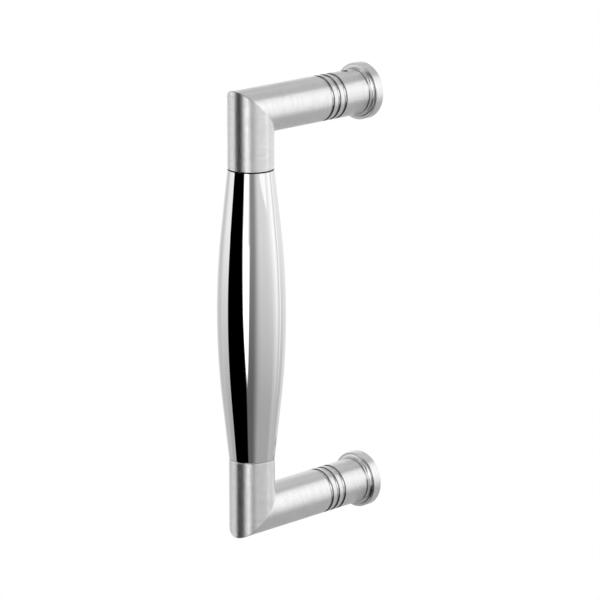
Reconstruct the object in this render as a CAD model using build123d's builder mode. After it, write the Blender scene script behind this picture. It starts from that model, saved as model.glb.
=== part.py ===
from build123d import *

import os
from math import radians, sin, tan

# Door pull handle: a polished barrel grip held between two mitred satin elbows,
# whose arms end on round roses and slide over spigots that are bolted to the door.
# All sizes are in millimetres. The door face is the plane Y = 0, the handle stands
# out from it along -Y, and +Z runs up the door. The origin lies on the door face,
# half way between the two fixings.

# Overall layout
hole_spacing = 178.0  # between the two fixing axes
projection = 68.6  # door face to the axis of the grip
tube_d = 20.0  # elbows, and the grip where it meets them
edge_break = 0.2  # chamfer on turned outer edges

# Grip: two straight tapers, joined by one arc that is tangent to both
grip_length = 128.5
grip_taper_deg = 6.2
grip_taper_run = 25.7  # length of each straight taper, along the axis

# Joint line: each leg seats on the grip by a register, with a fine open line round it
joint_gap = 0.25
joint_gap_depth = 0.8

# Grip studs: a headless screw between the grip and each elbow
stud_d = 8.0
stud_length = 30.0
stud_end_chamfer = 0.8
stud_socket_af = 4.0  # hexagon across its flats
stud_socket_depth = 4.0

# Rose: a flat rim, and a cove that sweeps up to the arm
rose_rim_t = 4.3
rose_rim_land = 0.85  # ring of the rim outside the cove
rose_edge_r = 0.35
rose_cove_r = 1.65
rose_lip_break = 0.45  # chamfer round the seat of the arm

# Decorative grooves turned into each arm: half round, centred on its surface
groove_count = 3
groove_pitch = 3.87
groove_r = 0.93
first_groove = 20.85  # door face to the middle of the nearest groove

# Spigot: bolted to the door through its tapped hole, and plugged into the arm
spigot_d = 12.0
spigot_reach = 22.0  # door face to the spigot's nose
spigot_nose_chamfer = 1.0
spigot_flange_lip = 3.0  # how far the flange stands out from the spigot
spigot_flange_t = 2.0
fixing_core_d = 6.8  # core of the M8 thread that takes the door bolt
fixing_depth = 17.0

# Grub screw: locks the arm on the spigot
grub_d = 3.0
grub_from_door = 11.7
grub_sink = 0.4  # how deep its head lies under the arm's surface
grub_bite = 1.0  # how deep its cone reaches into the spigot
grub_edge_break = 0.25
grub_socket_af = 1.5
grub_socket_depth = 1.6

# Clearances
slide_clearance = 0.05  # radial, spigot in the arm and in the rose
thread_clearance = 0.05  # radial, between a screw's outside and its tapped hole
seat_clearance = 0.02  # between the grub screw's tip and the groove it bites in
end_clearance = 0.5  # past the end of a screw or spigot in a blind hole

# Derived sizes
tube_r = tube_d / 2
spigot_r = spigot_d / 2
stud_r = stud_d / 2
grub_r = grub_d / 2
half_spacing = hole_spacing / 2
half_grip = grip_length / 2
rose_height = rose_rim_t + rose_cove_r + rose_lip_break
rose_r = tube_r + rose_cove_r + rose_rim_land
rose_bore_r = spigot_r + slide_clearance
flange_r = spigot_r + spigot_flange_lip
flange_pocket_r = flange_r + slide_clearance
grub_length = tube_r - grub_sink - spigot_r + grub_bite
grub_tip_r = grub_r - grub_bite

# Work planes of the upper half. On the turning planes local X is the radius, and
# local Y runs along the axis: out from the door, up the grip, or down the screw.
arm_turning = Plane(origin=(0, 0, half_spacing), x_dir=(1, 0, 0), z_dir=(0, 0, -1))
arm_axis = Axis((0, 0, half_spacing), (0, -1, 0))
grip_turning = Plane(origin=(0, -projection, 0), x_dir=(1, 0, 0), z_dir=(0, -1, 0))
grip_axis = Axis((0, -projection, 0), (0, 0, 1))
arm_crown = Plane(origin=(0, -grub_from_door, half_spacing + tube_r), z_dir=(0, 0, 1))
grub_head = arm_crown.offset(-grub_sink)
grub_turning = Plane(origin=grub_head.origin, x_dir=(1, 0, 0), z_dir=(0, 1, 0))
grub_axis = Axis(grub_head.origin, (0, 0, -1))
door_face = Plane(origin=(0, 0, half_spacing), x_dir=(1, 0, 0), z_dir=(0, 1, 0))
arm_end_face = door_face.offset(-rose_height)
leg_end_face = Plane(origin=(0, -projection, half_grip), z_dir=(0, 0, -1))
stud_end_face = Plane(origin=(0, -projection, half_grip - stud_length / 2))


# Grip: a solid turned barrel with a tapped hole in each end
with BuildPart() as grip:
    taper = radians(grip_taper_deg)
    belly_arc_r = (half_grip - grip_taper_run) / sin(taper)
    taper_apex_r = tube_r + half_grip * tan(taper)
    with BuildSketch(grip_turning):
        with BuildLine():
            FilletPolyline(
                (tube_r, -half_grip),
                (taper_apex_r, 0),
                (tube_r, half_grip),
                radius=belly_arc_r,
            )
            Polyline(
                (tube_r, half_grip),
                (0, half_grip),
                (0, -half_grip),
                (tube_r, -half_grip),
            )
        make_face()
    revolve(axis=grip_axis)
    chamfer(grip.faces().filter_by(Axis.Z).edges(), length=edge_break)
    for end in grip.faces().filter_by(Axis.Z):
        with Locations(Plane(end)):
            Hole(stud_r + thread_clearance, depth=stud_length / 2 + end_clearance)
    grip.part.label = "grip"


# Elbow: an arm and a leg of round bar, mitred and welded into one piece
with BuildPart() as upper_elbow:
    with BuildLine():
        Polyline(
            (0, -rose_height, half_spacing),
            (0, -projection, half_spacing),
            (0, -projection, half_grip + joint_gap),
        )
    with BuildSketch(arm_end_face):
        Circle(tube_r)
    sweep(transition=Transition.RIGHT)
    chamfer(upper_elbow.faces().filter_by(GeomType.PLANE).edges(), length=edge_break)
    # Register that seats on the grip
    with BuildSketch(leg_end_face):
        Circle(tube_r - joint_gap_depth)
    extrude(amount=-joint_gap)
    # Grooves round the arm
    with BuildSketch(arm_turning):
        for number in range(groove_count):
            with Locations((tube_r, first_groove + number * groove_pitch)):
                Circle(groove_r)
    revolve(axis=arm_axis, mode=Mode.SUBTRACT)
    # Bore for the spigot, then the tapped holes for the grub screw and the stud
    with Locations(arm_end_face):
        Hole(rose_bore_r, depth=spigot_reach - rose_height + end_clearance)
    with Locations(arm_crown):
        Hole(grub_r + thread_clearance, depth=tube_r)
    with Locations(leg_end_face):
        Hole(stud_r + thread_clearance, depth=stud_length / 2 + end_clearance)
    upper_elbow.part.label = "upper_elbow"


# Rose: turned ring that covers the spigot's flange and seats the end of the arm
with BuildPart() as upper_rose:
    with BuildSketch(arm_turning):
        with BuildLine():
            Polyline(
                (rose_bore_r, spigot_flange_t),
                (rose_bore_r, rose_height),
                (tube_r - rose_lip_break, rose_height),
                (tube_r, rose_height - rose_lip_break),
            )
            TangentArc(
                (tube_r, rose_height - rose_lip_break),
                (tube_r + rose_cove_r, rose_rim_t),
                tangent=(0, -1),
            )
            Line((tube_r + rose_cove_r, rose_rim_t), (rose_r - rose_edge_r, rose_rim_t))
            TangentArc(
                (rose_r - rose_edge_r, rose_rim_t),
                (rose_r, rose_rim_t - rose_edge_r),
                tangent=(1, 0),
            )
            Polyline(
                (rose_r, rose_rim_t - rose_edge_r),
                (rose_r, edge_break),
                (rose_r - edge_break, 0),
                (flange_pocket_r, 0),
                (flange_pocket_r, spigot_flange_t),
                (rose_bore_r, spigot_flange_t),
            )
        make_face()
    revolve(axis=arm_axis)
    upper_rose.part.label = "upper_rose"


# Spigot: turned pin with a flange on the door and a waist for the grub screw
with BuildPart() as upper_spigot:
    waist_r = spigot_r - grub_bite - seat_clearance
    waist_top = grub_r + seat_clearance
    waist_floor = grub_tip_r + thread_clearance
    with BuildSketch(arm_turning):
        with BuildLine():
            Polyline(
                (0, 0),
                (flange_r, 0),
                (flange_r, spigot_flange_t),
                (spigot_r, spigot_flange_t),
                (spigot_r, grub_from_door - waist_top),
                (waist_r, grub_from_door - waist_floor),
                (waist_r, grub_from_door + waist_floor),
                (spigot_r, grub_from_door + waist_top),
                (spigot_r, spigot_reach - spigot_nose_chamfer),
                (spigot_r - spigot_nose_chamfer, spigot_reach),
                (0, spigot_reach),
                close=True,
            )
        make_face()
    revolve(axis=arm_axis)
    with Locations(door_face):
        Hole(fixing_core_d / 2, depth=fixing_depth)
    upper_spigot.part.label = "upper_spigot"


# Grub screw: headless, with a hexagon socket and a cone point
with BuildPart() as upper_grub_screw:
    with BuildSketch(grub_turning):
        with BuildLine():
            Polyline(
                (0, 0),
                (grub_r - grub_edge_break, 0),
                (grub_r, grub_edge_break),
                (grub_r, grub_length - grub_bite),
                (grub_tip_r, grub_length),
                (0, grub_length),
                close=True,
            )
        make_face()
    revolve(axis=grub_axis)
    with BuildSketch(grub_head):
        RegularPolygon(grub_socket_af / 2, side_count=6, major_radius=False)
    extrude(amount=-grub_socket_depth, mode=Mode.SUBTRACT)
    upper_grub_screw.part.label = "upper_grub_screw"


# Grip stud: headless screw, half in the grip and half in the elbow
with BuildPart() as upper_grip_stud:
    with BuildSketch(stud_end_face):
        Circle(stud_r)
    extrude(amount=stud_length)
    chamfer(upper_grip_stud.faces().filter_by(Axis.Z).edges(), length=stud_end_chamfer)
    with BuildSketch(stud_end_face):
        RegularPolygon(stud_socket_af / 2, side_count=6, major_radius=False)
    extrude(amount=stud_socket_depth, mode=Mode.SUBTRACT)
    upper_grip_stud.part.label = "upper_grip_stud"


# Lower half: the same pieces turned over, so the lower grub screw sits underneath
with BuildPart() as lower_elbow:
    mirror(upper_elbow.part, about=Plane.XY)
    lower_elbow.part.label = "lower_elbow"

with BuildPart() as lower_rose:
    mirror(upper_rose.part, about=Plane.XY)
    lower_rose.part.label = "lower_rose"

with BuildPart() as lower_spigot:
    mirror(upper_spigot.part, about=Plane.XY)
    lower_spigot.part.label = "lower_spigot"

with BuildPart() as lower_grub_screw:
    mirror(upper_grub_screw.part, about=Plane.XY)
    lower_grub_screw.part.label = "lower_grub_screw"

with BuildPart() as lower_grip_stud:
    mirror(upper_grip_stud.part, about=Plane.XY)
    lower_grip_stud.part.label = "lower_grip_stud"


# One STEP file for each piece
os.makedirs("parts", exist_ok=True)
export_step(grip.part, "parts/grip.step")
export_step(upper_elbow.part, "parts/upper_elbow.step")
export_step(lower_elbow.part, "parts/lower_elbow.step")
export_step(upper_rose.part, "parts/upper_rose.step")
export_step(lower_rose.part, "parts/lower_rose.step")
export_step(upper_spigot.part, "parts/upper_spigot.step")
export_step(lower_spigot.part, "parts/lower_spigot.step")
export_step(upper_grub_screw.part, "parts/upper_grub_screw.step")
export_step(lower_grub_screw.part, "parts/lower_grub_screw.step")
export_step(upper_grip_stud.part, "parts/upper_grip_stud.step")
export_step(lower_grip_stud.part, "parts/lower_grip_stud.step")
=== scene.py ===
import math

import bmesh
import bpy
from mathutils import Matrix, Vector


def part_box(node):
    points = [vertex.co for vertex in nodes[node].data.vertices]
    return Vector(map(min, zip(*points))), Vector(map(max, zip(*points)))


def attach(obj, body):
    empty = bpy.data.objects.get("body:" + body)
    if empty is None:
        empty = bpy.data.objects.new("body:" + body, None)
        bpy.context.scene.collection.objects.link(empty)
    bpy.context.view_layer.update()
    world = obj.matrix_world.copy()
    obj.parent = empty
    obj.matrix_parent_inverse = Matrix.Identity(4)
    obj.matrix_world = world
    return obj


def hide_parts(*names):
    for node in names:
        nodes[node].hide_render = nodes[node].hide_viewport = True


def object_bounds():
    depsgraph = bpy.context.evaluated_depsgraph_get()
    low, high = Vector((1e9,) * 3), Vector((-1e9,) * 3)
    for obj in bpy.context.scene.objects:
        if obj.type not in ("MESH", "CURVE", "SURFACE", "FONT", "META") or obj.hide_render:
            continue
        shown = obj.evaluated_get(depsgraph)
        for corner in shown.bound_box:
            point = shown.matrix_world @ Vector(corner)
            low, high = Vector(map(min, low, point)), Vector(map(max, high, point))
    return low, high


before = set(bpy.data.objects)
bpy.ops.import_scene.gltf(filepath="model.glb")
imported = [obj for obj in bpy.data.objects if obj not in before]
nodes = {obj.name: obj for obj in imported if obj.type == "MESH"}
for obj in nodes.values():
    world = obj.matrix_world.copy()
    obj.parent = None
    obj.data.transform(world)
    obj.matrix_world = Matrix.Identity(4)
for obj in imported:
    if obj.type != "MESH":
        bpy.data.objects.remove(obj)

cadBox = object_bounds()
print("frame loaded:", ", ".join(sorted(nodes)))


# Shader maths: a wire is one output socket, and arithmetic on wires adds Math nodes
class Wire:
    def __init__(self, graph, socket):
        self.graph = graph
        self.socket = socket

    def __add__(self, other):
        return self.graph.math("ADD", self, other)

    def __radd__(self, other):
        return self.graph.math("ADD", other, self)

    def __sub__(self, other):
        return self.graph.math("SUBTRACT", self, other)

    def __rsub__(self, other):
        return self.graph.math("SUBTRACT", other, self)

    def __mul__(self, other):
        return self.graph.math("MULTIPLY", self, other)

    def __rmul__(self, other):
        return self.graph.math("MULTIPLY", other, self)

    def __truediv__(self, other):
        return self.graph.math("DIVIDE", self, other)

    def __rtruediv__(self, other):
        return self.graph.math("DIVIDE", other, self)

    def __pow__(self, other):
        return self.graph.math("POWER", self, other)

    def __rpow__(self, other):
        return self.graph.math("POWER", other, self)

    def __neg__(self):
        return self.graph.math("MULTIPLY", self, -1.0)

    def __abs__(self):
        return self.graph.math("ABSOLUTE", self)


class Graph:
    def __init__(self, tree):
        self.tree = tree
        tree.nodes.clear()

    # any node: its type, its settings first, then the values or wires of its sockets
    def add(self, kind, settings=None, sockets=None, output=0):
        node = self.tree.nodes.new(kind)
        for key, value in (settings or {}).items():
            setattr(node, key, value)
        for key, value in (sockets or {}).items():
            if isinstance(value, Wire):
                self.tree.links.new(value.socket, node.inputs[key])
            else:
                node.inputs[key].default_value = value
        return Wire(self, node.outputs[output]) if len(node.outputs) else None

    def math(self, operation, first, second=None):
        sockets = {0: first} if second is None else {0: first, 1: second}
        return self.add("ShaderNodeMath", {"operation": operation}, sockets)

    def coords(self, output):
        vector = self.add("ShaderNodeTexCoord", None, None, output)
        return [self.add("ShaderNodeSeparateXYZ", None, {0: vector}, axis) for axis in range(3)]

    def vector(self, x, y, z):
        return self.add("ShaderNodeCombineXYZ", None, {0: x, 1: y, 2: z})

    def length(self, x, y):
        return (x * x + y * y) ** 0.5

    # 0 below low, 1 above high, smooth between
    def ramp(self, value, low, high):
        settings = {"interpolation_type": "SMOOTHSTEP"}
        return self.add("ShaderNodeMapRange", settings, {0: value, 1: low, 2: high, 3: 0.0, 4: 1.0})

    # 0 below zero, 1 above it, smooth over soft on both sides
    def edge(self, value, soft):
        return self.ramp(value / soft, -1.0, 1.0)

    def mix(self, factor, first, second):
        return first + (second - first) * factor

    def mixColor(self, factor, first, second):
        return self.add("ShaderNodeMix", {"data_type": "RGBA"}, {0: factor, 6: first, 7: second}, 2)

    # noise over a place, with its own scale along each axis
    def noise(self, place, perMetre, detail, roughness=0.5):
        vector = self.vector(*(part * scale for part, scale in zip(place, perMetre)))
        sockets = {"Vector": vector, "Scale": 1.0, "Detail": detail, "Roughness": roughness}
        return self.add("ShaderNodeTexNoise", {"noise_dimensions": "3D"}, sockets)

    def bump(self, height, depth, strength=1.0):
        sockets = {"Strength": strength, "Distance": depth, "Height": height}
        return self.add("ShaderNodeBump", None, sockets)


def newMaterial(name):
    material = bpy.data.materials.new(name)
    material.use_nodes = True
    return material, Graph(material.node_tree)


def finishMetal(graph, color, roughness, normal):
    sockets = {"Base Color": color, "Roughness": roughness, "Metallic": 1.0, "Normal": normal}
    shader = graph.add("ShaderNodeBsdfPrincipled", None, sockets)
    graph.add("ShaderNodeOutputMaterial", None, {"Surface": shader})


def paint(nodeName, material):
    slots = nodes[nodeName].data.materials
    slots.clear()
    slots.append(material)


# Where the handle's main lines run, read from the frame, in metres
gripLow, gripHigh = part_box("grip")
roseLow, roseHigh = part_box("upper_rose")
elbowLow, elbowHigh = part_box("upper_elbow")
gripAxisY = (gripLow.y + gripHigh.y) / 2
halfGrip = gripHigh.z
armAxisZ = (roseLow.z + roseHigh.z) / 2
barRadius = (elbowHigh.x - elbowLow.x) / 2
roseRadius = (roseHigh.x - roseLow.x) / 2
roseHeight = -roseLow.y
sides = {"upper": 1.0, "lower": -1.0}

# The frame's solids have facets that a mirror shows, so the turned pieces are spun again
# with the same form and more of them
spinning = {"segments": 160, "sharpAngle": 30.0}
turns = [2.0 * math.pi * number / spinning["segments"] for number in range(spinning["segments"])]


def circle(radius):
    return [(radius * math.cos(turn), radius * math.sin(turn)) for turn in turns]


def armRing(radius, fromDoor, side):
    return [Vector((x, -fromDoor, side * (armAxisZ + rise))) for x, rise in circle(radius)]


def legRing(radius, height):
    return [Vector((x, gripAxisY - depth, height)) for x, depth in circle(radius)]


# rings where arm and leg meet, each set back from the mitre: the two edges of the broken
# corner, and a ring beside each that keeps the bars straight
def mitreRings(side, edge, support):
    places = circle(barRadius)

    def onArm(back):
        return [Vector((x, gripAxisY - rise + back, side * (armAxisZ + rise))) for x, rise in places]

    def onLeg(back):
        return [Vector((x, gripAxisY - rise, side * (armAxisZ + rise - back))) for x, rise in places]

    return [onArm(edge + support), onArm(edge), onLeg(edge), onLeg(edge + support)]


# points of an arc as (radius from the axis, place along it); angles in degrees
def arc(center, radius, first, last, steps):
    angles = [math.radians(first + (last - first) * step / steps) for step in range(steps + 1)]
    return [(center[0] + radius * math.cos(a), center[1] + radius * math.sin(a)) for a in angles]


# skin over rings in order: the ends either meet or close on the axis
def skin(name, rings, closed):
    mesh = bpy.data.meshes.new(name)
    form = bmesh.new()
    loops = [[form.verts.new(point) for point in ring] for ring in rings]
    pairs = list(zip(loops, loops[1:]))
    if closed:
        pairs.append((loops[-1], loops[0]))
    count = len(turns)
    for first, second in pairs:
        for number in range(count):
            after = (number + 1) % count
            form.faces.new((first[number], first[after], second[after], second[number]))
    if not closed:
        for ring in (loops[0], loops[-1]):
            middle = form.verts.new(sum((vert.co for vert in ring), Vector()) / count)
            for number in range(count):
                form.faces.new((ring[number], ring[(number + 1) % count], middle))
    bmesh.ops.recalc_face_normals(form, faces=form.faces)
    form.to_mesh(mesh)
    form.free()
    piece = bpy.data.objects.new(name, mesh)
    bpy.context.scene.collection.objects.link(piece)
    return piece


# shade a finished piece smooth between its sharp edges, and let it stand for its node
def seat(piece, nodeName, material):
    mesh = piece.data
    for face in mesh.polygons:
        face.use_smooth = True
    mesh.set_sharp_from_angle(angle=math.radians(spinning["sharpAngle"]))
    mesh.materials.clear()
    mesh.materials.append(material)
    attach(piece, "root")
    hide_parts(nodeName)


# Grip: two straight tapers and one long arc between them
gripForm = {
    "taperAngle": 6.2,
    "taperRun": 0.0257,
    "edgeBreak": 0.0002,
    "studHole": 0.00405,
    "studHoleDepth": 0.0155,
    "bellyRings": 48,
}


def spinGrip():
    lean = gripForm["taperAngle"]
    slope = math.radians(lean)
    bellyHalf = halfGrip - gripForm["taperRun"]
    bellyRadius = bellyHalf / math.sin(slope)
    bellyStart = barRadius + gripForm["taperRun"] * math.tan(slope)
    bellyCenter = bellyStart - bellyRadius * math.cos(slope)
    edge = gripForm["edgeBreak"]
    topHalf = [
        (barRadius + edge * math.tan(slope), halfGrip - edge),
        (barRadius - edge, halfGrip),
        (gripForm["studHole"], halfGrip),
        (gripForm["studHole"], halfGrip - gripForm["studHoleDepth"]),
    ]
    bottomHalf = [(radius, -height) for radius, height in reversed(topHalf)]
    belly = arc((bellyCenter, 0.0), bellyRadius, -lean, lean, gripForm["bellyRings"])
    rings = [legRing(radius, height) for radius, height in bottomHalf + belly + topHalf]
    return skin("polished_grip", rings, False)


# Elbow: arm and leg of one round bar, mitred at the corner
elbowForm = {
    "edgeBreak": 0.0002,
    "mitreBreak": 0.0002,
    "support": 0.00003,
    "jointGap": 0.00025,
    "jointDepth": 0.0008,
    "bore": 0.00605,
    "boreEnd": 0.0225,  # from the door
    "grooveCount": 3,
    "groovePitch": 0.00387,
    "grooveRadius": 0.00093,
    "firstGroove": 0.02085,  # from the door
    "grooveSteps": 24,
    "screwHole": 0.00155,
    "screwFromDoor": 0.0117,
    "screwSteps": 48,
    "drillReach": 1.2,  # from the arm's axis, in bar radii
}


def spinElbow(sideName):
    side = sides[sideName]
    edge = elbowForm["edgeBreak"]
    arm = [
        (elbowForm["bore"], elbowForm["boreEnd"]),
        (elbowForm["bore"], roseHeight),
        (barRadius - edge, roseHeight),
        (barRadius, roseHeight + edge),
    ]
    for number in range(elbowForm["grooveCount"]):
        center = (barRadius, elbowForm["firstGroove"] + number * elbowForm["groovePitch"])
        arm += arc(center, elbowForm["grooveRadius"], 270.0, 90.0, elbowForm["grooveSteps"])
    legEnd = halfGrip + elbowForm["jointGap"]
    register = barRadius - elbowForm["jointDepth"]
    leg = [
        (barRadius, legEnd + edge),
        (barRadius - edge, legEnd),
        (register, legEnd),
        (register, halfGrip),
        (gripForm["studHole"], halfGrip),
        (gripForm["studHole"], halfGrip + gripForm["studHoleDepth"]),
    ]
    rings = [armRing(radius, fromDoor, side) for radius, fromDoor in arm]
    rings += mitreRings(side, elbowForm["mitreBreak"], elbowForm["support"])
    rings += [legRing(radius, side * height) for radius, height in leg]
    elbow = skin(sideName + "_satin_elbow", rings, False)
    drillScrewHole(elbow, side)
    return elbow


def drillScrewHole(elbow, side):
    drill = bmesh.new()
    low, high = armAxisZ, armAxisZ + barRadius * elbowForm["drillReach"]
    place = Matrix.Translation((0.0, -elbowForm["screwFromDoor"], side * (low + high) / 2))
    # half a step round, so that no corner of the drill lies on a line of the bar
    place @= Matrix.Rotation(math.pi / elbowForm["screwSteps"], 4, "Z")
    radius = elbowForm["screwHole"]
    bmesh.ops.create_cone(drill, cap_ends=True, segments=elbowForm["screwSteps"], radius1=radius,
                          radius2=radius, depth=high - low, matrix=place)
    mesh = bpy.data.meshes.new("drill")
    drill.to_mesh(mesh)
    drill.free()
    cutter = bpy.data.objects.new("drill", mesh)
    bpy.context.scene.collection.objects.link(cutter)
    cut = elbow.modifiers.new("screwHole", "BOOLEAN")
    cut.operation = "DIFFERENCE"
    cut.solver = "EXACT"
    cut.object = cutter
    bpy.context.view_layer.update()
    solid = elbow.evaluated_get(bpy.context.evaluated_depsgraph_get())
    drilled = bpy.data.meshes.new_from_object(solid)
    elbow.modifiers.remove(cut)
    elbow.data = drilled
    bpy.data.objects.remove(cutter)


# Rose: a flat rim, and a cove that sweeps up to the arm
roseForm = {
    "bore": 0.00605,
    "flangePocket": 0.00905,
    "flangeDepth": 0.002,
    "lipBreak": 0.00045,
    "coveRadius": 0.00165,
    "rimHeight": 0.0043,
    "edgeRadius": 0.00035,
    "edgeBreak": 0.0002,
    "steps": 20,
    "support": 0.00006,  # a ring this far from each round edge keeps the flats flat
}


def spinRose(sideName):
    rim, edge, near = roseForm["rimHeight"], roseForm["edgeRadius"], roseForm["support"]
    coveCenter = (barRadius + roseForm["coveRadius"], rim + roseForm["coveRadius"])
    profile = [
        (roseForm["bore"], roseForm["flangeDepth"]),
        (roseForm["bore"], roseHeight),
        (barRadius - roseForm["lipBreak"], roseHeight),
    ]
    profile += arc(coveCenter, roseForm["coveRadius"], 180.0, 270.0, roseForm["steps"])
    profile += [(coveCenter[0] + near, rim), (roseRadius - edge - near, rim)]
    profile += arc((roseRadius - edge, rim - edge), edge, 90.0, 0.0, roseForm["steps"])
    profile += [
        (roseRadius, rim - edge - near),
        (roseRadius, roseForm["edgeBreak"]),
        (roseRadius - roseForm["edgeBreak"], 0.0),
        (roseForm["flangePocket"], 0.0),
        (roseForm["flangePocket"], roseForm["flangeDepth"]),
    ]
    rings = [armRing(radius, fromDoor, sides[sideName]) for radius, fromDoor in profile]
    return skin(sideName + "_satin_rose", rings, True)


# Satin steel: brushed round the bar, so the scratches are rings across each bar's axis, and
# each leans the surface a little along that axis
satin = {
    "color": (0.95, 0.95, 0.952, 1.0),
    "streakColor": (0.88, 0.88, 0.882, 1.0),
    "roughness": 0.22,
    "roughnessSwing": 0.03,
    "lean": 0.50,  # the steepest slope of a scratch
    "streaksPerMetre": 1500.0,
    "streakTurn": 150.0,  # how fast a streak changes along its ring, per metre
    "streakDetail": 3.0,
    "streakFineness": 0.6,  # how much each finer layer of streaks keeps
    "streakRange": (0.25, 0.75),
    "turned": (0.00005, 0.0002),  # how deep under the brushed surface the turned one starts
}


# streaks across one axis, which is 1 for the arms and 2 for the legs
def streaks(graph, place, axis, span):
    perMetre = [satin["streakTurn"]] * 3
    perMetre[axis] = satin["streaksPerMetre"]
    noise = graph.noise(place, perMetre, satin["streakDetail"], satin["streakFineness"])
    return graph.ramp(noise, *span)


def scratchLean(graph, place, turned):
    x, y, z = place
    first = graph.add("ShaderNodeTexWhiteNoise", None, {"Vector": graph.vector(x, y, z)})
    second = graph.add("ShaderNodeTexWhiteNoise", None, {"Vector": graph.vector(z, x, y)})
    return (first + second - 1.0) * satin["lean"] * (1.0 - turned)


def finishSatin(graph, color, streak, turned, turnedRoughness, leaning):
    brushed = satin["roughness"] + (streak - 0.5) * satin["roughnessSwing"]
    roughness = graph.mix(turned, brushed, turnedRoughness)
    flat = graph.add("ShaderNodeNewGeometry", None, None, "Normal")
    normal = graph.add("ShaderNodeVectorMath", {"operation": "ADD"}, {0: flat, 1: leaning})
    normal = graph.add("ShaderNodeVectorMath", {"operation": "NORMALIZE"}, {0: normal})
    finishMetal(graph, color, roughness, normal)


# Elbow finish: satin on arm and leg, with painted shade that darkens the grooves, and dark
# lines of painted shade on the groove walls, along the upper mitre, in the screw hole and in the joint
elbowFinish = {
    "mitreBlend": 0.00002,
    "legStreakRange": (0.32, 0.68),
    "grooveRoughness": 0.05,  # the grooves are turned and not brushed
    # painted shade: the grooves are coloured darker to stand in for the shade in them
    "grooveShadeColor": (0.68, 0.68, 0.68, 1.0),
    # painted shade: the walls of each groove are coloured near black
    "wallShadeColor": (0.04, 0.04, 0.04, 1.0),
    "wallAt": (0.79, 0.90),  # where a groove's wall starts, in groove radii from the middle
    "wallDepth": (0.00001, 0.00003),  # under the bar's surface
    # painted shade: a dark line along the mitre, on its upper part only
    "seamShadeColor": (0.16, 0.16, 0.16, 1.0),  # along the upper part of the mitre
    "seamCore": 0.6,  # how much of its width is fully dark
    "seamRise": (0.0050, 0.0066),  # from the arm's axis
    # painted shade: the walls of the screw hole are coloured near black
    "holeShadeColor": (0.02, 0.02, 0.02, 1.0),
    "holeEdge": (1.01, 1.03),  # in hole radii from the hole's axis
    "holeRise": (0.0, 0.001),  # from the arm's axis
    # painted shadow in the gap of each joint: full at the upper joint, fainter at the lower
    "jointShadowColor": (0.012, 0.012, 0.012, 1.0),
    "jointEdge": 0.00002,
    "jointReach": (0.0002, 0.0003),  # out from the register
    "lowJoint": 0.2,  # how much of it is left at the lower joint
    "lowBlend": 0.001,
}


# painted shade on the walls of the grooves, leaving their bottoms lighter
def grooveWallShade(graph, y, depth):
    pitches = (y + elbowForm["firstGroove"]) / elbowForm["groovePitch"] + 0.5
    fromGroove = abs(graph.math("FRACT", pitches) - 0.5) * elbowForm["groovePitch"]
    start, full = (share * elbowForm["grooveRadius"] for share in elbowFinish["wallAt"])
    return graph.ramp(depth, *elbowFinish["wallDepth"]) * graph.ramp(fromGroove, start, full)


# painted shade along the upper part of the mitre
def mitreSeamShade(graph, fromMitre, fromArm):
    width = elbowForm["mitreBreak"]
    seam = 1.0 - graph.ramp(abs(fromMitre), width * elbowFinish["seamCore"], width)
    return seam * graph.ramp(fromArm, *elbowFinish["seamRise"])


# painted shade inside the screw hole
def screwHole(graph, x, y, fromArm):
    fromScrew = graph.length(x, y + elbowForm["screwFromDoor"])
    start, full = (share * elbowForm["screwHole"] for share in elbowFinish["holeEdge"])
    return graph.ramp(fromArm, *elbowFinish["holeRise"]) * (1.0 - graph.ramp(fromScrew, start, full))


# painted shadow in the joint gap, fainter at the lower joint
def jointShadowLine(graph, x, y, z):
    legEnd = halfGrip + elbowForm["jointGap"]
    register = barRadius - elbowForm["jointDepth"]
    start, full = (register + reach for reach in elbowFinish["jointReach"])
    line = 1.0 - graph.ramp(abs(z), legEnd, legEnd + elbowFinish["jointEdge"])
    line = line * (1.0 - graph.ramp(graph.length(x, y - gripAxisY), start, full))
    upper = graph.edge(z, elbowFinish["lowBlend"])
    return line * graph.mix(upper, elbowFinish["lowJoint"], 1.0)


def elbowSteel(name):
    material, graph = newMaterial(name)
    place = graph.coords("Object")
    x, y, z = place
    fromArm = abs(z) - armAxisZ
    fromMitre = y - gripAxisY + fromArm
    onArm = graph.edge(fromMitre, elbowFinish["mitreBlend"])
    depth = barRadius - graph.length(x, fromArm)
    turned = onArm * graph.ramp(depth, *satin["turned"])
    armStreak = streaks(graph, place, 1, satin["streakRange"])
    legStreak = streaks(graph, place, 2, elbowFinish["legStreakRange"])
    streak = graph.mix(onArm, legStreak, armStreak)
    color = graph.mixColor(streak, satin["color"], satin["streakColor"])
    # painted shade in the grooves
    color = graph.mixColor(turned, color, elbowFinish["grooveShadeColor"])
    shadeMarks = {
        "wallShadeColor": onArm * grooveWallShade(graph, y, depth),
        "seamShadeColor": mitreSeamShade(graph, fromMitre, fromArm),
        "holeShadeColor": screwHole(graph, x, y, fromArm),
        "jointShadowColor": jointShadowLine(graph, x, y, z),
    }
    # painted shade: lay on each dark line of shade
    for shadeMarkColor, shadeMark in shadeMarks.items():
        color = graph.mixColor(shadeMark, color, elbowFinish[shadeMarkColor])
    lean = scratchLean(graph, place, turned)
    leaning = graph.vector(0.0, lean * onArm, lean * (1.0 - onArm))
    finishSatin(graph, color, streak, turned, elbowFinish["grooveRoughness"], leaning)
    return material


# Rose finish: satin on the rim, a smoother turned front coloured darker as painted shade, and a
# ring of painted shade round the seat of the arm
roseFinish = {
    "coveRoughness": 0.20,
    # painted shade: the turned front of the rose, with its cove, is coloured darker than the rim
    "coveShadeColor": (0.75, 0.75, 0.75, 1.0),
    # painted shade: a dark ring round the seat of the arm, between arm and rose
    "lipShadeColor": (0.42, 0.42, 0.42, 1.0),  # round the seat of the arm
    "lipEdge": 0.00003,
}


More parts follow.
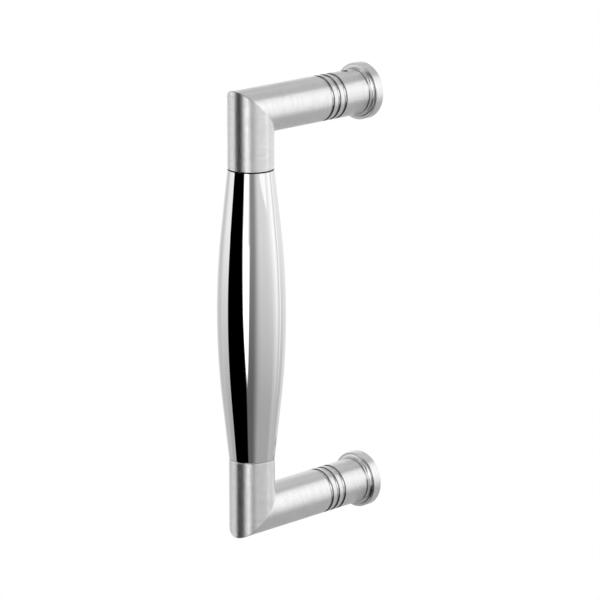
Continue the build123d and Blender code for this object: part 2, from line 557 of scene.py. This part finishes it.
def roseSteel(name):
    material, graph = newMaterial(name)
    place = graph.coords("Object")
    x, y, z = place
    offAxis = graph.length(x, abs(z) - armAxisZ)
    turned = graph.ramp(roseRadius - offAxis, *satin["turned"])
    streak = streaks(graph, place, 1, satin["streakRange"])
    color = graph.mixColor(streak, satin["color"], satin["streakColor"])
    # painted shade on the turned front
    color = graph.mixColor(turned, color, roseFinish["coveShadeColor"])
    # painted shade where the arm meets the rose
    lipShade = 1.0 - graph.ramp(offAxis, barRadius, barRadius + roseFinish["lipEdge"])
    color = graph.mixColor(lipShade, color, roseFinish["lipShadeColor"])
    leaning = graph.vector(0.0, scratchLean(graph, place, turned), 0.0)
    finishSatin(graph, color, streak, turned, roseFinish["coveRoughness"], leaning)
    return material


# Polished steel: a mirror with the last traces of the polishing mop
polish = {
    "color": (0.93, 0.93, 0.935, 1.0),
    "hazeColor": (0.90, 0.90, 0.905, 1.0),
    "roughness": 0.035,
    "hazeRoughness": 0.02,
    "hazePerMetre": (90.0, 90.0, 40.0),
    "hazeDetail": 4.0,
    "ripple": 0.0000002,
    "ripplesPerMetre": (300.0, 300.0, 5000.0),
    "rippleDetail": 2.0,
    "jointShadowColor": (0.012, 0.012, 0.012, 1.0),  # the shadow line at each end
    "jointAt": (1.05, 0.95),  # from the end, in edge breaks
    "lowJoint": 0.05,  # how much of it is left at the lower end
}


def polishedSteel(name):
    material, graph = newMaterial(name)
    place = graph.coords("Object")
    z = place[2]
    haze = graph.noise(place, polish["hazePerMetre"], polish["hazeDetail"])
    mop = graph.noise(place, polish["ripplesPerMetre"], polish["rippleDetail"])
    roughness = polish["roughness"] + (haze - 0.5) * polish["hazeRoughness"]
    color = graph.mixColor(haze, polish["color"], polish["hazeColor"])
    start, full = (halfGrip - gripForm["edgeBreak"] * share for share in polish["jointAt"])
    joint = graph.ramp(z, start, full) + graph.ramp(-z, start, full) * polish["lowJoint"]
    color = graph.mixColor(joint, color, polish["jointShadowColor"])
    finishMetal(graph, color, roughness, graph.bump(mop, polish["ripple"]))
    return material


# Fixing steel: as it came off the lathe
lathe = {
    "color": (0.62, 0.62, 0.61, 1.0),
    "dullColor": (0.50, 0.50, 0.49, 1.0),
    "roughness": 0.32,
    "roughnessSwing": 0.15,
    "dullPerMetre": 250.0,
    "dullDetail": 4.0,
    "feedsPerMetre": 7000.0,
    "feedDetail": 2.0,
    "feedDepth": 0.000006,
}


def latheSteel(name):
    material, graph = newMaterial(name)
    place = graph.coords("Object")
    x, y, z = place
    offAxis = graph.length(x, abs(z) - armAxisZ)
    feed = graph.noise((offAxis, y, 0.0), [lathe["feedsPerMetre"]] * 3, lathe["feedDetail"])
    dull = graph.noise(place, [lathe["dullPerMetre"]] * 3, lathe["dullDetail"])
    color = graph.mixColor(dull, lathe["color"], lathe["dullColor"])
    roughness = lathe["roughness"] + (dull - 0.5) * lathe["roughnessSwing"]
    finishMetal(graph, color, roughness, graph.bump(feed, lathe["feedDepth"]))
    return material


# Grub screws: hardened and dark
darkScrew = {
    "color": (0.10, 0.10, 0.105, 1.0),
    "wornColor": (0.20, 0.20, 0.20, 1.0),
    "roughness": 0.42,
    "roughnessSwing": 0.2,
    "wornPerMetre": 900.0,
    "wornDetail": 4.0,
    "wornDepth": 0.00001,
    "wornStrength": 0.5,
}


def darkSteel(name):
    material, graph = newMaterial(name)
    place = graph.coords("Object")
    worn = graph.noise(place, [darkScrew["wornPerMetre"]] * 3, darkScrew["wornDetail"])
    color = graph.mixColor(worn, darkScrew["color"], darkScrew["wornColor"])
    roughness = darkScrew["roughness"] + (worn - 0.5) * darkScrew["roughnessSwing"]
    normal = graph.bump(worn, darkScrew["wornDepth"], darkScrew["wornStrength"])
    finishMetal(graph, color, roughness, normal)
    return material


elbowSatin = elbowSteel("elbowSatin")
roseSatin = roseSteel("roseSatin")
gripPolish = polishedSteel("gripPolish")
fixingSteel = latheSteel("fixingSteel")
screwSteel = darkSteel("screwSteel")
seat(spinGrip(), "grip", gripPolish)
for sideName in sides:
    seat(spinElbow(sideName), sideName + "_elbow", elbowSatin)
    seat(spinRose(sideName), sideName + "_rose", roseSatin)
    paint(sideName + "_spigot", fixingSteel)
    paint(sideName + "_grub_screw", screwSteel)
    paint(sideName + "_grip_stud", fixingSteel)
print("pieces spun and painted")


# Studio light, far off: a dome, and in front of the handle a dim gap, a white strip and a
# black flag. Angles are in degrees, and the azimuth turns from straight in front of the
# handle towards its right side.
studio = {
    "backdrop": 1.0,  # what the camera sees behind the handle
    "frontSoft": 1.0,
    "stepAt": (1.0, 5.0),  # elevations where strip and flag step in or out
}


# degrees above the horizon, and how much of the steps above it is taken
def aboveHorizon(graph, elevation):
    return graph.math("MAXIMUM", elevation, 0.0), graph.ramp(elevation, *studio["stepAt"])


# Dome: pale round the horizon, and dimmer straight to the left and the right. High up it has
# a faint shade on the front left, a dark ceiling on the front right, and a pale zenith
dome = {
    "below": 0.40,
    "horizon": 1.02,
    "above": 0.45,
    "rise": (-31.0, 5.0),  # elevations over which it brightens
    "fall": (30.0, 60.0),  # elevations over which it dims again
    "leftFrom": (-85.0, -62.0),  # azimuths over which its left part begins
    "leftHorizon": 0.93,
    "leftRise": (-50.0, 5.0),
    "leftFall": (0.0, 60.0),
    "sideDip": 0.30,
    "dipIn": (62.0, 86.0),
    "dipOut": (88.0, 124.0),
    "zenith": 0.85,
    "zenithFoot": (62.0, 74.0),
    "middle": (-20.0, 0.0),  # azimuths where the shade ends and the ceiling begins
    "shadeSide": (-100.0, -75.0),
    "shadeFoot": (4.0, 14.0),
    "shadeDepth": 0.10,
    "ceilingSide": (84.0, 98.0),
    "ceilingFoot": (24.0, 36.0),
    "ceilingTop": (56.0, 68.0),
    "ceilingDepth": 0.88,
}


def domeLight(graph, azimuth, elevation):
    left = 1.0 - graph.ramp(azimuth, *dome["leftFrom"])
    risen = graph.ramp(elevation, *dome["rise"])
    risen = graph.mix(left, risen, graph.ramp(elevation, *dome["leftRise"]))
    fallen = graph.ramp(elevation, *dome["fall"])
    fallen = graph.mix(left, fallen, graph.ramp(elevation, *dome["leftFall"]))
    side = abs(azimuth)
    dip = graph.ramp(side, *dome["dipIn"]) * (1.0 - graph.ramp(side, *dome["dipOut"]))
    horizon = graph.mix(left, dome["horizon"], dome["leftHorizon"]) - dip * dome["sideDip"]
    light = graph.mix(risen, dome["below"], horizon)
    light = graph.mix(fallen, light, dome["above"])
    light = graph.mix(graph.ramp(elevation, *dome["zenithFoot"]), light, dome["zenith"])
    right = graph.ramp(azimuth, *dome["middle"])
    shade = graph.ramp(azimuth, *dome["shadeSide"]) * (1.0 - right)
    shade = shade * graph.ramp(elevation, *dome["shadeFoot"])
    ceiling = right * (1.0 - graph.ramp(azimuth, *dome["ceilingSide"]))
    ceiling = ceiling * graph.ramp(elevation, *dome["ceilingFoot"])
    ceiling = ceiling * (1.0 - graph.ramp(elevation, *dome["ceilingTop"]))
    return light * (1.0 - shade * dome["shadeDepth"]) * (1.0 - ceiling * dome["ceilingDepth"])


# Gap: leaves only a share of the dome's light on the front right
gap = {
    "share": 0.22,
    "topShare": 1.05,
    "topRise": (0.0, 10.0),
    "floor": 0.03,
    "out": (54.0, 86.0),
    "lean": 0.30,  # how far its right edge leans out, per degree of elevation
}


def gapLight(graph, light, inFront, azimuth, elevation):
    mask = inFront * (1.0 - graph.ramp(azimuth - elevation * gap["lean"], *gap["out"]))
    share = graph.mix(graph.ramp(elevation, *gap["topRise"]), gap["share"], gap["topShare"])
    return graph.mix(mask, light, light * share + gap["floor"])


# Strip: white, between flag and gap, with a lower edge that curves up to both sides
strip = {
    "light": 1.6,
    "sideLight": 0.8,  # more light at its two sides above the horizon
    "sides": (7.0, 14.0),  # where they start, from its middle
    "right": 38.2,
    "neck": 2.4,  # how far its right edge steps in just under the horizon
    "neckAt": (-3.6, -2.2),
    "step": 6.8,  # how far its right edge steps out above the horizon
    "lean": 0.6,  # how far its right edge leans out, per degree above the horizon
    "soft": 9.0,
    "middle": 29.5,
    "middleSoft": 1.0,
    "leftBow": 0.08,  # how its lower edge curves up, per degree squared
    "rightBow": 0.13,
    "bottom": -24.0,
    "bottomSoft": 2.0,
    "top": (16.0, 32.0),
}


def stripLight(graph, light, inFront, azimuth, elevation):
    raised, over = aboveHorizon(graph, elevation)
    rightEdge = raised * strip["lean"] + over * strip["step"] + strip["right"]
    rightEdge = rightEdge - graph.ramp(elevation, *strip["neckAt"]) * strip["neck"]
    mask = inFront * (1.0 - graph.edge(azimuth - rightEdge, strip["soft"]))
    fromMiddle = azimuth - strip["middle"]
    bow = graph.mix(graph.edge(fromMiddle, strip["middleSoft"]), strip["leftBow"], strip["rightBow"])
    lowEdge = bow * fromMiddle * fromMiddle + strip["bottom"]
    mask = mask * graph.edge(elevation - lowEdge, strip["bottomSoft"])
    mask = mask * (1.0 - graph.ramp(elevation, *strip["top"]))
    atSides = over * graph.ramp(abs(fromMiddle), *strip["sides"])
    return graph.mix(mask, light, strip["light"] + atSides * strip["sideLight"])


# Flag: black, with edges that lean in towards its top
flag = {
    "left": -38.2,
    "leftSoft": 1.0,
    "leftLean": 0.12,  # how far its left edge leans in, per degree of elevation
    "leftTopLean": 0.45,  # more of that above the horizon
    "leftStep": 5.2,  # how far its left edge steps in above the horizon
    "shoulder": 2.4,  # how far its left edge steps out just under the horizon
    "shoulderAt": (-6.5, -2.5),
    "right": 14.97,
    "rightSoft": (2.0, 4.0),  # low down, and near the horizon
    "softRise": (-15.0, -3.0),
    "rightLean": 0.209,
    "rightTopLean": 0.57,
    "rightStep": 4.0,
    "foot": 6.4,  # how far its right edge steps out at its foot
    "footRise": (-25.7, -12.7),
    "end": (-50.0, -36.0),  # elevations over which it ends
}


def flagMask(graph, azimuth, elevation):
    raised, over = aboveHorizon(graph, elevation)
    leftEdge = elevation * flag["leftLean"] + raised * flag["leftTopLean"] + over * flag["leftStep"]
    leftEdge = leftEdge - graph.ramp(elevation, *flag["shoulderAt"]) * flag["shoulder"] + flag["left"]
    rightEdge = elevation * flag["rightLean"] + raised * flag["rightTopLean"] + over * flag["rightStep"]
    foot = (1.0 - graph.ramp(elevation, *flag["footRise"])) * flag["foot"]
    rightEdge = foot - rightEdge + flag["right"]
    rightSoft = graph.mix(graph.ramp(elevation, *flag["softRise"]), *flag["rightSoft"])
    mask = graph.edge(azimuth - leftEdge, flag["leftSoft"])
    mask = mask * (1.0 - graph.edge(azimuth - rightEdge, rightSoft))
    return mask * graph.ramp(elevation, *flag["end"])


def lightStudio():
    world = bpy.data.worlds.new("studio")
    world.use_nodes = True
    bpy.context.scene.world = world
    graph = Graph(world.node_tree)
    x, y, z = graph.coords("Generated")
    degrees = 180.0 / math.pi
    azimuth = graph.math("ARCTAN2", x, -y) * degrees
    elevation = graph.math("ARCSINE", z) * degrees
    inFront = graph.edge(azimuth, studio["frontSoft"])
    light = domeLight(graph, azimuth, elevation)
    light = gapLight(graph, light, inFront, azimuth, elevation)
    light = stripLight(graph, light, inFront, azimuth, elevation)
    light = light * (1.0 - flagMask(graph, azimuth, elevation))
    seen = graph.add("ShaderNodeLightPath", None, None, "Is Camera Ray")
    light = graph.mix(seen, light, studio["backdrop"])
    shader = graph.add("ShaderNodeBackground", None, {"Color": light, "Strength": 1.0})
    graph.add("ShaderNodeOutputWorld", None, {"Surface": shader})


# a flat sheet that glows and casts no shadow
def glowSheet(name, corners, materialName, glow):
    mesh = bpy.data.meshes.new(name)
    mesh.from_pydata(corners, [], [(0, 1, 2, 3)])
    sheet = bpy.data.objects.new(name, mesh)
    bpy.context.scene.collection.objects.link(sheet)
    material, graph = newMaterial(materialName)
    shader = graph.add("ShaderNodeEmission", None, {"Color": glow(graph), "Strength": 1.0})
    graph.add("ShaderNodeOutputMaterial", None, {"Surface": shader})
    mesh.materials.append(material)
    sheet.visible_diffuse = False
    sheet.visible_shadow = False
    return sheet


# a card that is seen only in reflections
def hangCard(name, corners, glow):
    card = glowSheet(name, corners, name, glow)
    card.visible_camera = False


def levelCorners(left, right, front, back, height):
    return [(left, front, height), (right, front, height), (right, back, height), (left, back, height)]


# Wall near by on the right, in metres: bright, and fading towards the floor
wall = {
    "x": 0.81,
    "front": -0.25,
    "back": 2.2,
    "bottom": -1.6,
    "top": 2.0,
    "dark": 0.36,
    "backDark": 0.45,
    "backFrom": (0.4, 0.9),
    "bright": 1.08,
    "rise": (-0.50, 0.30),
    "sink": 0.36,  # how far its fade sinks for each metre behind the handle
    "sinkFrom": 0.4,
    "dip": 0.34,
    "dipTop": (0.0, 0.35),
    "dipOut": (-0.05, 0.85),
    "backDip": 0.40,
    "backDipAt": 1.45,
    "backDipHalf": 0.55,
    "panel": 0.30,  # a brighter panel, with a foot that falls towards the door
    "panelSide": (-0.14, -0.11),
    "panelEnd": (0.20, 0.40),
    "panelFoot": 0.036,
    "panelFootSoft": 0.002,
    "panelFall": 0.11,
    "panelTop": (0.07, 0.09),
}


def wallLight(graph):
    y, z = graph.coords("Object")[1:]
    sunk = graph.math("MAXIMUM", y, wall["sinkFrom"]) * wall["sink"]
    risen = graph.ramp(sunk + z, *wall["rise"])
    dip = (1.0 - graph.ramp(y, *wall["dipOut"])) * (1.0 - graph.ramp(z, *wall["dipTop"]))
    backDip = 1.0 - graph.ramp(abs(y - wall["backDipAt"]), 0.0, wall["backDipHalf"])
    bright = wall["bright"] - dip * wall["dip"] - backDip * wall["backDip"]
    dark = graph.mix(graph.ramp(y, *wall["backFrom"]), wall["dark"], wall["backDark"])
    panel = graph.ramp(y, *wall["panelSide"]) * (1.0 - graph.ramp(y, *wall["panelEnd"]))
    panel = panel * graph.edge(y * wall["panelFall"] + z - wall["panelFoot"], wall["panelFootSoft"])
    panel = panel * (1.0 - graph.ramp(z, *wall["panelTop"]))
    return graph.mix(risen, dark, bright) + panel * wall["panel"]


def hangWall():
    places = ((wall["front"], wall["bottom"]), (wall["back"], wall["bottom"]),
              (wall["back"], wall["top"]), (wall["front"], wall["top"]))
    corners = [(wall["x"], y, z) for y, z in places]
    hangCard("rightWall", corners, wallLight)


# Card overhead, in metres: dimmer, with a bright slit
overhead = {
    "height": 0.385,
    "left": (-0.62, -0.32),
    "right": (0.15, 0.22),
    "front": -0.25,
    "back": 1.8,
    "light": 0.46,
    "leftLight": 0.66,
    "slit": -0.08,
    "slitHalf": 0.04,
    "slitLight": 0.42,
}


def overheadLight(graph):
    x = graph.coords("Object")[0]
    light = graph.mix(graph.ramp(x, *overhead["left"]), overhead["leftLight"], overhead["light"])
    slit = 1.0 - graph.ramp(abs(x - overhead["slit"]), 0.0, overhead["slitHalf"])
    light = light + slit * overhead["slitLight"]
    return graph.mix(graph.ramp(x, *overhead["right"]), light, dome["horizon"])


def hangOverhead():
    corners = levelCorners(overhead["left"][0], overhead["right"][1], overhead["front"],
                           overhead["back"], overhead["height"])
    hangCard("overheadCard", corners, overheadLight)


# Floor: plain and white, below the handle, and glowing evenly so that it shows no shadow
floor = {
    "drop": 0.05,
    "size": 14.0,
    "color": (1.0, 1.0, 1.0, 1.0),
}


def layFloor():
    half = floor["size"] / 2
    corners = levelCorners(-half, half, -half, half, cadBox[0][2] - floor["drop"])
    ground = glowSheet("floor", corners, "paleFloor", lambda graph: floor["color"])
    ground.visible_glossy = False


lightStudio()
hangWall()
hangOverhead()
layFloor()
bpy.context.scene.view_settings.view_transform = "Standard"
print("studio lit")


# Camera at the photograph's angle, aimed a little right of and above the grip's middle
view = {
    "azimuth": 45.0,
    "elevation": 14.65,
    "distance": 1.4071,
    "aimRight": 0.020915,
    "aimUp": 0.00623,
    "lens": 195.96,  # millimetres, as the sensor
    "sensor": 36.0,
    "reach": 50.0,
}


def placeCamera():
    turn, lift = math.radians(view["azimuth"]), math.radians(view["elevation"])
    back = Vector((math.sin(turn) * math.cos(lift), -math.cos(turn) * math.cos(lift), math.sin(lift)))
    right = Vector((math.cos(turn), math.sin(turn), 0.0))
    up = back.cross(right)
    gripMiddle = (gripLow + gripHigh) / 2
    place = gripMiddle + right * view["aimRight"] + up * view["aimUp"] + back * view["distance"]
    lens = bpy.data.cameras.new("photoCamera")
    lens.lens = view["lens"]
    lens.sensor_width = view["sensor"]
    lens.sensor_fit = "HORIZONTAL"
    lens.clip_end = view["reach"]
    camera = bpy.data.objects.new("photoCamera", lens)
    camera.matrix_world = Matrix.Translation(place) @ Matrix((right, up, back)).transposed().to_4x4()
    bpy.context.scene.collection.objects.link(camera)
    bpy.context.scene.camera = camera


placeCamera()
print("camera placed")
